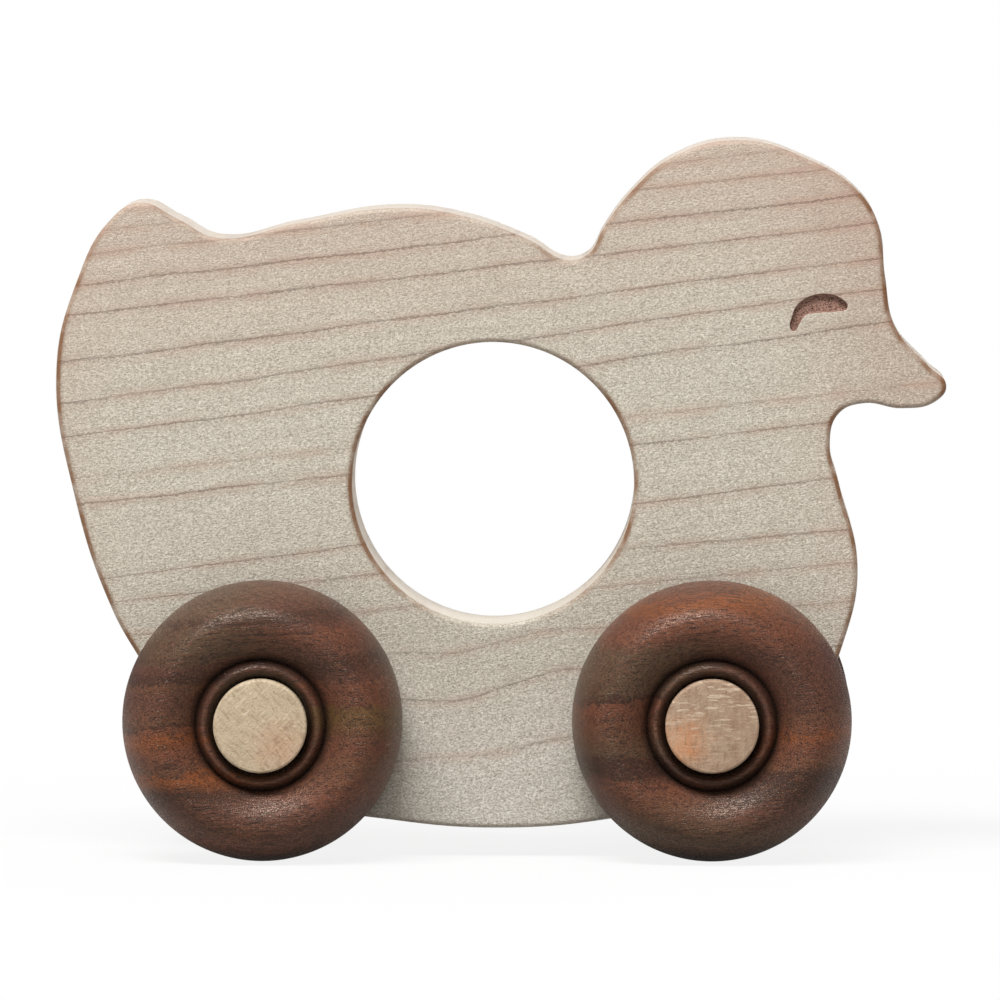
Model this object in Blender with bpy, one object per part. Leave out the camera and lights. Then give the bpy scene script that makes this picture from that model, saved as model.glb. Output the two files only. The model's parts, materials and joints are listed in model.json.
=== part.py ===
"""Wheeled wooden duck push toy: a flat board body on two turning axles.

Metres, +Z up. The bill points along +X, the toy's own left is +Y, and the
floor under the wheels is Z = 0 below the middle of the body.
"""

from math import cos, pi, radians, sin

import bmesh
import bpy
from mathutils import Matrix, Vector

# Body board: length from rump to bill, height from belly to crown, and how far
# the belly hangs below the axle line.
BODY_LENGTH = 0.1212
BODY_HEIGHT = 0.0938
BODY_THICKNESS = 0.0190
BODY_EDGE_ROUND = 0.0007
BELLY_DROP = 0.0150

# Finger hole: its middle lies behind the middle of the body and below the crown.
FINGER_HOLE_RADIUS = 0.0192
FINGER_HOLE_SETBACK = 0.0011
FINGER_HOLE_DROP = 0.0467

# Axles: dowels that turn in the body and are glued into the wheels. The rear
# axle is placed from the rump and the front axle from the bill.
AXLE_RADIUS = 0.00635
AXLE_END_EASE = 0.0004
REAR_AXLE_INSET = 0.0282
FRONT_AXLE_INSET = 0.0319
AXLE_RUNNING_CLEARANCE = 0.0004
AXLE_GLUE_CLEARANCE = 0.0003

# Wheels, turned with a round shoulder, a dished face and a small hub bead.
WHEEL_RADIUS = 0.01905
WHEEL_WIDTH = 0.0160
WHEEL_SIDE_CLEARANCE = 0.0010
WHEEL_BACK_ROUND = 0.0020
WHEEL_TREAD_WIDTH = 0.0030
WHEEL_SHOULDER_REACH = 0.0053
WHEEL_DISH_DEPTH = 0.0030
WHEEL_BEAD_WIDTH = 0.0022
WHEEL_BEAD_HEIGHT = 0.0012

# Engraved eye.
EYE_DEPTH = 0.0008

# Fineness of the round shapes.
OUTLINE_STEPS = 4
HOLE_SIDES = 64
ROUND_SIDES = 48
EDGE_STEPS = 3
SHOULDER_STEPS = 5
DISH_STEPS = 4
BEAD_STEPS = 3

# Side outline of the duck, anticlockwise as seen from -Y: each landmark in
# hundredths of the body's length from the rump and of its height from the belly.
BODY_OUTLINE = (
    ("crown", 76.77, 100.0),
    ("nape top", 69.39, 97.64),
    ("nape", 64.35, 92.23),
    ("nape foot", 61.36, 86.97),
    ("notch side", 59.83, 83.56),
    ("neck notch", 57.58, 82.58),
    ("shoulder", 53.13, 85.54),
    ("back", 45.64, 89.03),
    ("back crest", 37.84, 90.15),
    ("back fall", 26.97, 87.89),
    ("tail dip", 18.0, 85.83),
    ("tail rise", 13.64, 88.58),
    ("tail tip", 9.28, 90.91),
    ("tail edge", 5.98, 88.26),
    ("rump top", 2.31, 79.47),
    ("rump", 0.0, 66.88),
    ("rump foot", 2.09, 47.94),
    ("flank", 6.23, 31.8),
    ("flank foot", 9.19, 24.91),
    ("behind rear wheel", 16.17, 11.51),
    ("under rear wheel", 25.31, 4.31),
    ("belly rear", 38.18, 1.07),
    ("belly", 49.8, 0.0),
    ("belly front", 61.42, 1.17),
    ("under front wheel", 74.28, 4.95),
    ("behind front wheel", 83.42, 14.2),
    ("breast foot", 88.76, 28.16),
    ("breast", 90.06, 38.39),
    ("breast top", 87.94, 50.29),
    ("throat", 86.93, 56.13),
    ("throat corner", 87.93, 60.32),
    ("chin", 90.65, 61.8),
    ("bill under", 95.05, 61.08),
    ("bill corner", 98.77, 62.07),
    ("bill tip", 100.0, 64.38),
    ("bill top", 98.02, 67.23),
    ("bill root", 94.29, 72.85),
    ("brow", 93.1, 80.34),
    ("forehead", 92.38, 87.67),
    ("forehead top", 90.17, 92.51),
    ("crown front", 83.96, 97.52),
)

# Outline of the closed eye, on the same grid: an arch that thins towards the nape.
EYE_OUTLINE = (
    ("arch top", 86.36, 77.7),
    ("arch rear", 84.45, 77.19),
    ("arch bend", 83.22, 76.03),
    ("leg outside", 82.69, 74.51),
    ("leg heel", 82.59, 72.55),
    ("leg toe", 83.2, 72.43),
    ("leg inside", 83.62, 73.56),
    ("arch hollow", 84.18, 74.54),
    ("underside", 85.58, 74.97),
    ("front underside", 87.6, 75.15),
    ("front end", 88.87, 75.74),
    ("arch front", 88.16, 77.01),
)

MAPLE = ("maple board", (0.56, 0.47, 0.38), 0.55)
DOWEL = ("maple dowel", (0.52, 0.41, 0.29), 0.60)
WALNUT = ("turned walnut", (0.10, 0.055, 0.038), 0.42)

# A wheel stands on a flat facet, so its axle is one facet height up.
AXLE_HEIGHT = WHEEL_RADIUS * cos(pi / ROUND_SIDES)
WHEEL_BACK = BODY_THICKNESS / 2 + WHEEL_SIDE_CLEARANCE
AXLE_LENGTH = 2 * (WHEEL_BACK + WHEEL_WIDTH)
REAR_AXLE_X = REAR_AXLE_INSET - BODY_LENGTH / 2
FRONT_AXLE_X = BODY_LENGTH / 2 - FRONT_AXLE_INSET
CROWN_RISE = BODY_HEIGHT - BELLY_DROP
# Cutters stand clear of the board on both sides.
CUTTER_LENGTH = 2 * BODY_THICKNESS


def clear_scene():
    """Remove every object that the file opened with."""
    for obj in list(bpy.data.objects):
        bpy.data.objects.remove(obj, do_unlink=True)


def make_material(name, colour, roughness):
    """Return a plain Principled material."""
    material = bpy.data.materials.new(name)
    material.use_nodes = True
    shader = material.node_tree.nodes["Principled BSDF"]
    shader.inputs["Base Color"].default_value = (*colour, 1.0)
    shader.inputs["Roughness"].default_value = roughness
    shader.inputs["Metallic"].default_value = 0.0
    return material


def add_object(name, data, material=None, parent=None, location=(0, 0, 0)):
    """Link a new object into the scene."""
    obj = bpy.data.objects.new(name, data)
    bpy.context.scene.collection.objects.link(obj)
    obj.location = location
    obj.parent = parent
    if material is not None:
        data.materials.append(material)
    return obj


def finish_mesh(name, bm):
    """Weld a bmesh, turn its faces out and return it as a smooth mesh."""
    bmesh.ops.remove_doubles(bm, verts=bm.verts, dist=1e-6)
    bmesh.ops.recalc_face_normals(bm, faces=bm.faces)
    mesh = bpy.data.meshes.new(name)
    bm.to_mesh(mesh)
    bm.free()
    mesh.shade_smooth()
    mesh.set_sharp_from_angle(angle=radians(40))
    return mesh


def add_smooth_loop(curve, landmarks):
    """Add a closed smooth spline through the landmarks."""
    spline = curve.splines.new("BEZIER")
    spline.bezier_points.add(len(landmarks) - 1)
    for point, (_, along, up) in zip(spline.bezier_points, landmarks):
        x = BODY_LENGTH * (along / 100 - 0.5)
        point.co = (x, BODY_HEIGHT * up / 100 - BELLY_DROP, 0.0)
        point.handle_left_type = "AUTO"
        point.handle_right_type = "AUTO"
    spline.use_cyclic_u = True
    spline.resolution_u = OUTLINE_STEPS


def add_circle_loop(curve, x, rise, radius):
    """Add a closed round spline at a height over the axle line."""
    spline = curve.splines.new("POLY")
    spline.points.add(HOLE_SIDES - 1)
    for step, point in enumerate(spline.points):
        angle = 2 * pi * step / HOLE_SIDES
        point.co = (x + radius * cos(angle), rise + radius * sin(angle), 0.0, 1.0)
    spline.use_cyclic_u = True


def mesh_from_outline(name, curve):
    """Turn a filled, extruded outline into an upright mesh across Y."""
    guide = add_object(name + " outline", curve)
    evaluated = guide.evaluated_get(bpy.context.evaluated_depsgraph_get())
    drawn = bpy.data.meshes.new_from_object(evaluated)
    bm = bmesh.new()
    bm.from_mesh(drawn)
    bmesh.ops.rotate(bm, verts=bm.verts, matrix=Matrix.Rotation(pi / 2, 3, "X"))
    bpy.data.objects.remove(guide, do_unlink=True)
    bpy.data.meshes.remove(drawn)
    return finish_mesh(name, bm)


def outline_curve(name, half_depth, edge_round):
    """Return a filled flat curve, extruded both ways, with rounded edges."""
    curve = bpy.data.curves.new(name, "CURVE")
    curve.dimensions = "2D"
    curve.fill_mode = "BOTH"
    curve.extrude = half_depth - edge_round
    curve.bevel_depth = edge_round
    curve.bevel_resolution = EDGE_STEPS - 1
    curve.offset = -edge_round
    return curve


def spin_profile(name, profile, closed):
    """Turn a profile of (radius, depth) points about the Y axis.

    A closed profile runs round the axis, an open one starts and ends on it.
    """
    step = 2 * pi / ROUND_SIDES
    bm = bmesh.new()
    ring = [bm.verts.new((radius, depth, 0.0)) for radius, depth in profile]
    edges = [bm.edges.new(pair) for pair in zip(ring, ring[1:])]
    if closed:
        edges.append(bm.edges.new((ring[-1], ring[0])))
    # Half a step of turn puts a flat facet, not a corner, on the floor.
    bmesh.ops.rotate(bm, verts=ring, matrix=Matrix.Rotation(step / 2, 3, "Y"))
    bmesh.ops.spin(
        bm,
        geom=ring + edges,
        axis=Vector((0.0, 1.0, 0.0)),
        cent=Vector((0.0, 0.0, 0.0)),
        angle=2 * pi,
        steps=ROUND_SIDES,
        use_merge=True,
    )
    return finish_mesh(name, bm)


def wheel_profile():
    """Return the wheel's section as (radius, depth) from its back face."""
    bore = AXLE_RADIUS + AXLE_GLUE_CLEARANCE
    valley = bore + WHEEL_BEAD_WIDTH
    crest = WHEEL_RADIUS - WHEEL_SHOULDER_REACH
    tread_front = WHEEL_BACK_ROUND + WHEEL_TREAD_WIDTH
    shoulder_depth = WHEEL_WIDTH - tread_front
    valley_depth = WHEEL_WIDTH - WHEEL_DISH_DEPTH

    points = [(bore, 0.0)]
    for step in range(EDGE_STEPS + 1):
        angle = pi / 2 * step / EDGE_STEPS
        radius = WHEEL_RADIUS - WHEEL_BACK_ROUND * (1 - sin(angle))
        points.append((radius, WHEEL_BACK_ROUND * (1 - cos(angle))))
    for step in range(SHOULDER_STEPS + 1):
        angle = pi / 2 * step / SHOULDER_STEPS
        radius = crest + WHEEL_SHOULDER_REACH * cos(angle)
        points.append((radius, tread_front + shoulder_depth * sin(angle)))
    # The dish falls ever more steeply from the crest to the valley.
    for step in range(1, DISH_STEPS + 1):
        share = step / DISH_STEPS
        fall = WHEEL_DISH_DEPTH * (1 - cos(pi / 2 * share))
        points.append((crest + (valley - crest) * share, WHEEL_WIDTH - fall))
    # The bead round the bore is a half wave.
    for step in range(1, BEAD_STEPS + 1):
        share = step / BEAD_STEPS
        rise = WHEEL_BEAD_HEIGHT * sin(pi * share)
        points.append((valley + (bore - valley) * share, valley_depth + rise))
    return points


def axle_profile():
    """Return half of the axle's section, from one end face to the other."""
    half = AXLE_LENGTH / 2
    points = []
    for step in range(EDGE_STEPS + 1):
        angle = pi / 2 * step / EDGE_STEPS
        radius = AXLE_RADIUS - AXLE_END_EASE * (1 - sin(angle))
        points.append((radius, -half + AXLE_END_EASE * (1 - cos(angle))))
    return [(0.0, -half), *points, *((r, -d) for r, d in reversed(points)), (0.0, half)]


def add_cut(target, cutter):
    """Cut one hidden guide out of a piece."""
    cutter.hide_render = True
    cutter.display_type = "WIRE"
    cut = target.modifiers.new("cut " + cutter.name, "BOOLEAN")
    cut.operation = "DIFFERENCE"
    cut.solver = "EXACT"
    cut.object = cutter


def make_body(material):
    """Cut the duck from its board: outline, finger hole, bores and eyes."""
    curve = outline_curve("duck board", BODY_THICKNESS / 2, BODY_EDGE_ROUND)
    add_smooth_loop(curve, BODY_OUTLINE)
    hole_rise = CROWN_RISE - FINGER_HOLE_DROP
    add_circle_loop(curve, -FINGER_HOLE_SETBACK, hole_rise, FINGER_HOLE_RADIUS)
    mesh = mesh_from_outline("duck board", curve)
    body = add_object("duck_body", mesh, material, location=(0, 0, AXLE_HEIGHT))

    half_cut = CUTTER_LENGTH / 2
    bore_radius = AXLE_RADIUS + AXLE_RUNNING_CLEARANCE
    bore = [(0, -half_cut), (bore_radius, -half_cut), (bore_radius, half_cut), (0, half_cut)]
    for end, x in (("rear", REAR_AXLE_X), ("front", FRONT_AXLE_X)):
        mesh = spin_profile(end + " bore", bore, closed=False)
        add_cut(body, add_object(end + " bore", mesh, location=(x, 0, AXLE_HEIGHT)))

    # Each eye cutter's middle lies half its depth out from the engraved floor.
    eye_middle = BODY_THICKNESS / 2 - EYE_DEPTH + half_cut
    for side, sign in (("left", 1), ("right", -1)):
        curve = outline_curve(side + " eye", half_cut, 0.0)
        add_smooth_loop(curve, EYE_OUTLINE)
        mesh = mesh_from_outline(side + " eye", curve)
        place = (0, sign * eye_middle, AXLE_HEIGHT)
        add_cut(body, add_object(side + " eye", mesh, location=place))
    return body


def make_wheelset(end, x, axle_material, wheel_material):
    """Make one axle with its two wheels on a pivot at the axle's middle."""
    pivot = add_object(end + " pivot", None, location=(x, 0, AXLE_HEIGHT))
    axle = spin_profile(end + " axle", axle_profile(), closed=False)
    add_object(end + "_axle", axle, axle_material, pivot)
    for side, sign in (("left", 1), ("right", -1)):
        mesh = spin_profile(end + " wheel", wheel_profile(), closed=True)
        place = (0, sign * WHEEL_BACK, 0)
        wheel = add_object(f"{end}_{side}_wheel", mesh, wheel_material, pivot, place)
        wheel.rotation_euler.z = 0.0 if sign > 0 else pi


def main():
    """Build the whole toy."""
    clear_scene()
    maple = make_material(*MAPLE)
    dowel = make_material(*DOWEL)
    walnut = make_material(*WALNUT)
    make_body(maple)
    make_wheelset("rear", REAR_AXLE_X, dowel, walnut)
    make_wheelset("front", FRONT_AXLE_X, dowel, walnut)


main()
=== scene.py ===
"""Looks for a wheeled wooden duck push toy, laid out as an add-on.

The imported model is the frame. Each piece here is a surface worked out with numpy,
stands for the node of the same name and rides on that node's body. Metres, +Z up.
"""

import json
from math import cos, pi, radians, sin, tan

import bpy
import numpy as np
from bpy.props import FloatProperty, FloatVectorProperty, PointerProperty
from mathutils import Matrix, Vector
from mathutils.geometry import delaunay_2d_cdt


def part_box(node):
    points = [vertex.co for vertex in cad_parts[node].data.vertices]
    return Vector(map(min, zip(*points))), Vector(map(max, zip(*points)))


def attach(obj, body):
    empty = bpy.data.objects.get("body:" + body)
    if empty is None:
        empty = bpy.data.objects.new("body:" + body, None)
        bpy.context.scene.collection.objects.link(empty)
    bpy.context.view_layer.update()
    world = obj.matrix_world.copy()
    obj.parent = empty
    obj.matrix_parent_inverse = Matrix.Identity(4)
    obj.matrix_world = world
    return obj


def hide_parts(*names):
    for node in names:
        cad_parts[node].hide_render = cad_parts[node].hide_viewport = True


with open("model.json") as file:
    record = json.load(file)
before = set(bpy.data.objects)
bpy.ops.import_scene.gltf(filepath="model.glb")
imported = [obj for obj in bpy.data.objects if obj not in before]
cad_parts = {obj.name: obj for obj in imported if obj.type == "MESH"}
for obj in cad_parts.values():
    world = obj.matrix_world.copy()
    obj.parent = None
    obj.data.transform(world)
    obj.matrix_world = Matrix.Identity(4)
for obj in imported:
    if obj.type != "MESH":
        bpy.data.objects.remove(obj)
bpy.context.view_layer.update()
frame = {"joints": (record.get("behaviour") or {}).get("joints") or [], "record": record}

bl_info = {
    "name": "Wheeled Wooden Duck",
    "version": (1, 0, 0),
    "blender": (4, 5, 0),
    "location": "3D View > Sidebar > Duck",
    "description": "Builds the maple board, walnut wheels and dowel axles of a push toy",
    "category": "Object",
}

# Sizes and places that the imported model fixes.
BOARD_LOW, BOARD_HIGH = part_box("duck_body")
WHEEL_LOW, WHEEL_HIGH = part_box("rear_left_wheel")
AXLE_LOW, AXLE_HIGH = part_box("rear_axle")
HOLE_LOW, HOLE_HIGH = (Vector(c) for c in frame["record"]["physics"]["openings"][0]["box_m"])
AXLE_POINTS = {joint["child"]: Vector(joint["pos_m"]) for joint in frame["joints"]}
HALF_BOARD = (BOARD_HIGH.y - BOARD_LOW.y) / 2
HOLE_CENTRE = (HOLE_LOW + HOLE_HIGH) / 2
WHEEL_RADIUS = (WHEEL_HIGH.z - WHEEL_LOW.z) / 2
WHEEL_WIDTH = WHEEL_HIGH.y - WHEEL_LOW.y
AXLE_RADIUS = (AXLE_HIGH.z - AXLE_LOW.z) / 2
HALF_AXLE = (AXLE_HIGH.y - AXLE_LOW.y) / 2

# Fineness of the surfaces.
OUTLINE_STEPS = 14
HOLE_SIDES = 240
BORE_SIDES = 72
WHEEL_SIDES = 168
AXLE_SIDES = 84
EDGE_STEPS = 8
LIP_STEPS = 4
SECTION_STEPS = 22
END_STEPS = 8

# Length of a smooth outline's handles in spans, and the fold past which a turned edge
# is drawn sharp.
HANDLE_SPANS = 0.3904
SHARP_FOLD = radians(50)

# Side outline of the duck, anticlockwise as seen from -Y: each landmark in
# hundredths of the board's length from the rump and of its height from the belly.
BOARD_OUTLINE = (
    (76.77, 100.0), (69.39, 97.64), (64.35, 92.23), (61.36, 86.97), (59.83, 83.56),
    (57.58, 82.58), (53.13, 85.54), (45.64, 89.03), (37.84, 90.15), (26.97, 87.89),
    (18.0, 85.83), (13.64, 88.58), (9.28, 90.91), (5.98, 88.26), (2.31, 79.47),
    (0.0, 66.88), (2.09, 47.94), (6.23, 31.8), (9.19, 24.91), (16.17, 11.51),
    (25.31, 4.31), (38.18, 1.07), (49.8, 0.0), (61.42, 1.17), (74.28, 4.95),
    (83.42, 14.2), (88.76, 28.16), (90.06, 38.39), (87.94, 50.29), (86.93, 56.13),
    (87.93, 60.32), (90.65, 61.8), (95.05, 61.08), (98.77, 62.07), (100.0, 64.38),
    (98.02, 67.23), (94.29, 72.85), (93.1, 80.34), (92.38, 87.67), (90.17, 92.51),
    (83.96, 97.52),
)
# Outline of the closed eye on the same grid.
EYE_OUTLINE = (
    (86.36, 77.7), (84.45, 77.19), (83.22, 76.03), (82.69, 74.51), (82.52, 72.62),
    (82.86, 72.3), (83.46, 73.3), (84.1, 74.52), (85.58, 74.97), (87.6, 75.15),
    (88.87, 75.74), (88.16, 77.01),
)

# Patterns are worked out in millimetres.
MM = 1000.0
# Growth lines of the board: height over the floor at its middle, rise towards the bill
# and strength.
GROWTH_LINES = (
    (14.7, 0.115, 0.5), (23.4, 0.12, 0.85), (29.6, 0.115, 0.5), (35.5, 0.1, 0.5),
    (40.5, 0.097, 0.8), (45.4, 0.146, 0.85), (54.5, 0.108, 0.9), (58.3, 0.112, 0.35),
    (65.4, 0.145, 0.95), (70.2, 0.145, 0.85), (75.2, 0.128, 0.9), (80.8, 0.114, 0.9),
    (84.8, 0.116, 0.9), (88.8, 0.118, 0.55), (91.9, 0.12, 0.35), (94.4, 0.12, 0.25),
)
# Section through a growth line: shift, darkness and rosiness.
LINE_SECTION = (
    (-1.3, 0.0, 0.0), (-0.22, 0.12, 1.0), (0.0, 1.0, 1.0), (0.15, 0.1, 1.0), (1.1, 0.0, 0.0),
)
# A ramp is stored in few steps, so each holds only some of the lines, with a margin.
LINES_PER_RAMP = 4
RAMP_MARGIN = 2.0
# Height that the ramp of the lines' rises spans.
RISE_SPAN = 100.0
# Below the hole the lines rise more steeply: middle of that spot, its inner and outer
# reach, and the added rise.
STEEP_SPOT = (4.4, -9.5, 23.1)
STEEP_REACH = (4.0, 16.0)
STEEP_RISE = 0.21

# Colour bands across each wheel, from the bottom of its face to the top, first on the
# side of the tail and then on the side of the bill.
WHEEL_BANDS = {
    "rear_right_wheel": (
        (
            (0.0, "heart"), (0.1, "red"), (0.15, "heart"), (0.19, "plum"), (0.27, "dark"),
            (0.31, "amber"), (0.345, "amber"), (0.36, "heart"), (0.42, "red"), (0.46, "amber"),
            (0.495, "red"), (0.503, "dark"), (0.515, "heart"), (0.61, "plum"), (0.65, "heart"),
            (0.67, "dark"), (0.72, "plum"), (0.737, "grey"), (0.744, "dark"), (0.752, "grey"),
            (0.85, "grey"), (0.87, "dark"), (0.89, "grey"), (0.96, "grey"),
        ),
        (
            (0.0, "heart"), (0.14, "plum"), (0.24, "red"), (0.34, "heart"), (0.4, "red"),
            (0.44, "heart"), (0.49, "olive"), (0.55, "olive"), (0.57, "red"), (0.64, "red"),
            (0.665, "plum"), (0.73, "dark"), (0.755, "plum"), (0.82, "red"), (0.85, "plum"),
            (0.89, "dark"), (0.92, "plum"), (0.97, "heart"),
        ),
    ),
    "front_right_wheel": (
        (
            (0.0, "dark"), (0.09, "grey"), (0.16, "grey"), (0.22, "heart"), (0.3, "red"),
            (0.34, "dark"), (0.395, "dark"), (0.41, "grey"), (0.5, "heart"), (0.57, "red"),
            (0.605, "red"), (0.612, "dark"), (0.622, "dark"), (0.635, "grey"), (0.78, "grey"),
            (0.82, "red"), (0.89, "red"), (0.93, "amber"), (0.97, "red"),
        ),
        (
            (0.0, "dark"), (0.09, "grey"), (0.18, "plum"), (0.235, "dark"), (0.31, "dark"),
            (0.33, "heart"), (0.4, "red"), (0.44, "amber"), (0.47, "red"), (0.52, "heart"),
            (0.55, "plum"), (0.75, "plum"), (0.8, "red"), (0.88, "red"), (0.93, "amber"),
            (0.98, "red"),
        ),
    ),
    "rear_left_wheel": (
        (
            (0.05, "dark"), (0.18, "heart"), (0.3, "red"), (0.38, "amber"), (0.41, "dark"),
            (0.55, "grey"), (0.66, "heart"), (0.74, "dark"), (0.8, "red"), (0.94, "heart"),
        ),
        (
            (0.04, "heart"), (0.2, "plum"), (0.31, "olive"), (0.35, "red"), (0.42, "dark"),
            (0.5, "heart"), (0.63, "red"), (0.7, "grey"), (0.83, "plum"), (0.95, "red"),
        ),
    ),
    "front_left_wheel": (
        (
            (0.04, "heart"), (0.15, "grey"), (0.28, "heart"), (0.34, "dark"), (0.4, "red"),
            (0.52, "amber"), (0.56, "dark"), (0.7, "heart"), (0.85, "grey"), (0.95, "red"),
        ),
        (
            (0.05, "red"), (0.16, "plum"), (0.27, "heart"), (0.33, "grey"), (0.41, "amber"),
            (0.45, "red"), (0.57, "dark"), (0.69, "plum"), (0.8, "heart"), (0.93, "olive"),
        ),
    ),
}
# How far along and across the same tree each next wheel is cut.
NEXT_WHEEL = (37.0, 11.0)
# Middle of the warm patch on each dowel's ends, from the axle.
STAIN_SPOTS = {"rear": (2.6, 0.0, -2.8), "front": (-4.0, 0.0, -2.2)}

# Studio lamps, all facing the toy: place, width, height and whether a gloss mirrors them.
LAMPS = {
    "key": ((-0.3, -0.62, 1.13), 0.8, 0.3, True),
    "front": ((0.05, -0.86, 1.075), 0.8, 0.3, False),
    "back": ((0.4, 1.2, 0.33), 1.0, 0.6, False),
    "tail": ((-1.1, 0.0, 0.22), 1.2, 0.4, False),
    "bill": ((1.1, 0.0, 0.22), 1.2, 0.4, False),
}
# Floor: half its width, the reach over which it turns to plain white, and the grey and
# glow of its near part as the camera sees them.
FLOOR_REACH = 2.0
FLOOR_FADE = (0.07, 0.2)
FLOOR_GREY = 0.1
FLOOR_GLOW = 0.86
# How much of the white background a gloss mirrors, and the camera's far limit.
GLOSS_SHARE = 0.1
FAR_LIMIT = 30.0


def paint(red, green, blue):
    """Turn a colour written as 0 to 255 display values into linear light."""
    level = np.array((red, green, blue)) / 255
    return tuple(np.where(level <= 0.04045, level / 12.92, ((level + 0.055) / 1.055) ** 2.4))


def length(name, description, default):
    """Return a length property in metres."""
    return FloatProperty(
        name=name, description=description, default=default, min=0.0, unit="LENGTH", precision=5
    )


def angle(name, description, degrees):
    """Return an angle property."""
    return FloatProperty(
        name=name, description=description, default=radians(degrees), subtype="ANGLE"
    )


def share(name, description, default, top=1.0):
    """Return a plain number property."""
    return FloatProperty(name=name, description=description, default=default, min=0.0, max=top)


def power(name, description, watts):
    """Return a lamp's power property."""
    return FloatProperty(name=name, description=description, default=watts, min=0.0, unit="POWER")


def colour(name, description, *display):
    """Return a colour property, its default given in display values."""
    return FloatVectorProperty(
        name=name, description=description, default=paint(*display), subtype="COLOR",
        size=3, min=0.0, max=1.0,
    )


class DuckBoardSettings(bpy.types.PropertyGroup):
    """Sizes and colours of the maple board."""

    edge_round: length("Edge Round", "Radius of the sanded edges", 0.0007)
    hole_radius: length("Finger Hole", "Radius of the finger hole", 0.0192)
    bore_radius: length("Axle Bore", "Radius of the two axle bores", 0.00675)
    eye_depth: length("Eye Depth", "Depth of the engraved eye", 0.0008)
    eye_lip: length("Eye Lip", "Rounding of the engraved eye's rim", 0.00012)
    grain_tilt: angle("Grain Tilt", "Rise of the grain towards the bill", 7.1)
    roughness: share("Roughness", "Roughness of the sanded face", 0.56)
    pale: colour("Pale Wood", "Colour between the fibres", 237, 231, 216)
    # The sapwood colour is painted light: it lightens the low board to make up for the shade
    # there.
    painted_belly_light: colour("Sapwood", "Colour between the fibres low on the board", 252, 247, 238)
    fibre: colour("Fibre", "Colour of the short darker fibres", 152, 143, 126)
    blush: colour("Blush", "Colour of the pinkish patches", 192, 159, 141)
    line: colour("Growth Line", "Colour of the growth lines", 95, 78, 64)
    burnish: colour("Burnished Edge", "Colour of end grain browned by sanding", 122, 80, 46)
    wall: colour("Side Walls", "Colour of the pale side walls", 232, 224, 213)
    engraved: colour("Engraved Eye", "Colour of the eye's floor", 172, 134, 118)
    burnt: colour("Burnt Rim", "Colour of the eye's scorched wall and specks", 92, 64, 50)


class DuckWheelSettings(bpy.types.PropertyGroup):
    """Sizes and colours of the turned walnut wheels."""

    bore_radius: length("Bore", "Radius of the glued bore", 0.0064)
    back_round: length("Back Round", "Radius of the back edge", 0.0020)
    tread_width: length("Tread", "Width of the straight tread", 0.0030)
    shoulder_reach: length("Shoulder", "Reach of the round shoulder", 0.0053)
    dish_depth: length("Dish", "Depth of the dished face", 0.0030)
    bead_width: length("Bead Width", "Width of the bead round the bore", 0.00245)
    bead_height: length("Bead Height", "Height of the bead round the bore", 0.0012)
    grain_tilt: angle("Grain Tilt", "Turn of the grain from level", 3.0)
    roughness: share("Roughness", "Roughness of the oiled surface", 0.31)
    shine: share("Shine", "Strength of the oil's reflections", 0.46)
    oil: colour("Oil", "Tint of the oil's reflections", 255, 240, 224)
    heart: colour("Heartwood", "Main brown", 101, 65, 46)
    grey: colour("Grey Brown", "Cooler bands", 86, 67, 50)
    dark: colour("Dark Streak", "Dark bands and growth lines", 50, 31, 25)
    red: colour("Red Brown", "Warm bands", 112, 66, 48)
    plum: colour("Plum Brown", "Bands with a purple tinge", 89, 55, 45)
    olive: colour("Olive Brown", "Yellowish bands", 104, 77, 44)
    amber: colour("Amber", "Orange bands", 136, 75, 39)
    speck: colour("Specks", "Colour of the finest light fibre ends", 158, 118, 96)
    pore: colour("Pores", "Colour in the open pores", 42, 27, 21)
    # The groove colour is painted shade: it darkens the corners beside the bead, where shade
    # falls.
    groove_shade: colour("Groove", "Colour of the finish gathered round the bead", 24, 13, 9)


class DuckAxleSettings(bpy.types.PropertyGroup):
    """Sizes and colours of the dowel axles."""

    end_ease: length("End Ease", "Radius of the eased ends", 0.0004)
    end_dome: length("End Dome", "Rise of the sanded end's middle", 0.00012)
    rear_slant: angle("Rear Rays", "Slant of the rays on the rear axle's ends", 45.0)
    front_slant: angle("Front Rays", "Slant of the rays on the front axle's ends", 0.0)
    rear_dashes: share("Rear Ray Strength", "Strength of the rear axle's rays", 0.5)
    front_dashes: share("Front Ray Strength", "Strength of the front axle's rays", 0.6)
    roughness: share("Roughness", "Roughness of the cut ends", 0.60)
    rear_wood: colour("Rear Dowel", "Colour of the rear axle", 197, 179, 149)
    front_wood: colour("Front Dowel", "Colour of the front axle", 164, 134, 110)
    ray: colour("Rays", "Colour of the short pale rays", 226, 206, 180)
    rear_stain: colour("Rear Stain", "Colour of the rear axle's warm patch", 196, 156, 126)
    front_stain: colour("Front Stain", "Colour of the front axle's warm patch", 204, 140, 96)
    pore: colour("Pores", "Colour of the open pores", 128, 98, 74)


class DuckStageSettings(bpy.types.PropertyGroup):
    """Camera, light and floor of the studio."""

    azimuth: angle("Azimuth", "Turn of the camera towards the bill", 0.7)
    elevation: angle("Elevation", "Height of the camera over the horizon", 3.0)
    distance: length("Distance", "Camera to the middle of the toy", 1.8)
    aim_back: length("Aim Back", "How far behind the middle the camera aims", 0.00027)
    aim_height: length("Aim Height", "Height of the point in the middle of the picture", 0.0483)
    focal_length: FloatProperty(
        name="Focal Length", description="Camera lens", default=473.3, min=1.0, unit="CAMERA"
    )
    key_power: power("Key Light", "Soft light from high above", 16.4)
    front_power: power("Front Light", "Soft light from above the front", 6.4)
    back_power: power("Back Light", "Light from behind", 10.0)
    tail_power: power("Tail Light", "Light from the side of the tail", 5.0)
    bill_power: power("Bill Light", "Light from the side of the bill", 4.0)
    room_light: share("Room Light", "Even light from all round", 0.1, 4.0)
    floor: colour("Floor", "Colour of the pale floor", 170, 168, 165)


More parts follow.
